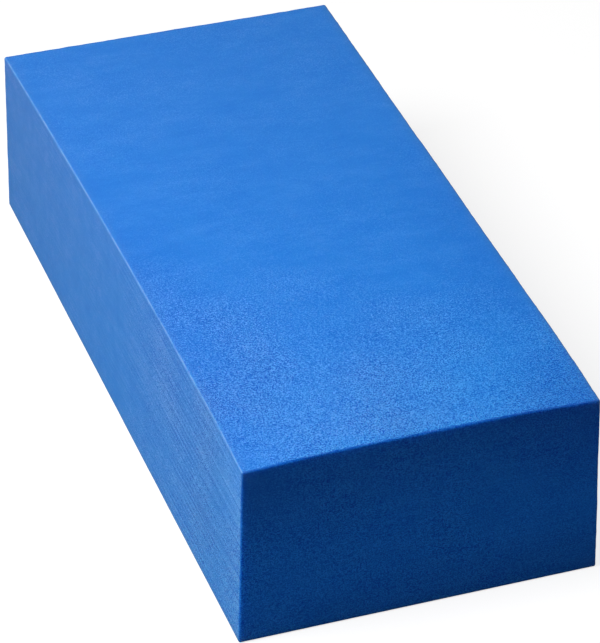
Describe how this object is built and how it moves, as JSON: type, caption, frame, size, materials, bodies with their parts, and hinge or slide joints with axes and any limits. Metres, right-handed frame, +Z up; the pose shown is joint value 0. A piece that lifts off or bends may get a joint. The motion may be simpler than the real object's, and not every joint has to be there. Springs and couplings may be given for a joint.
{
  "type": "cleaning sponge",
  "caption": "Plain rectangular cleaning sponge: a soft block of fine-celled blue foam with cut faces and softly rounded edges.",
  "frame": {"origin": "middle of the flat underside, on the surface the sponge rests on", "axes": "+X across the block to its right, +Y along the block from the near end to the far end, +Z up"},
  "size_m": [0.09, 0.2, 0.0492],
  "materials": {
    "foam": "matt fine-celled foam, cut faces"
  },
  "bodies": {
    "root": {"sponge_block": "foam"}
  },
  "joints": []
}
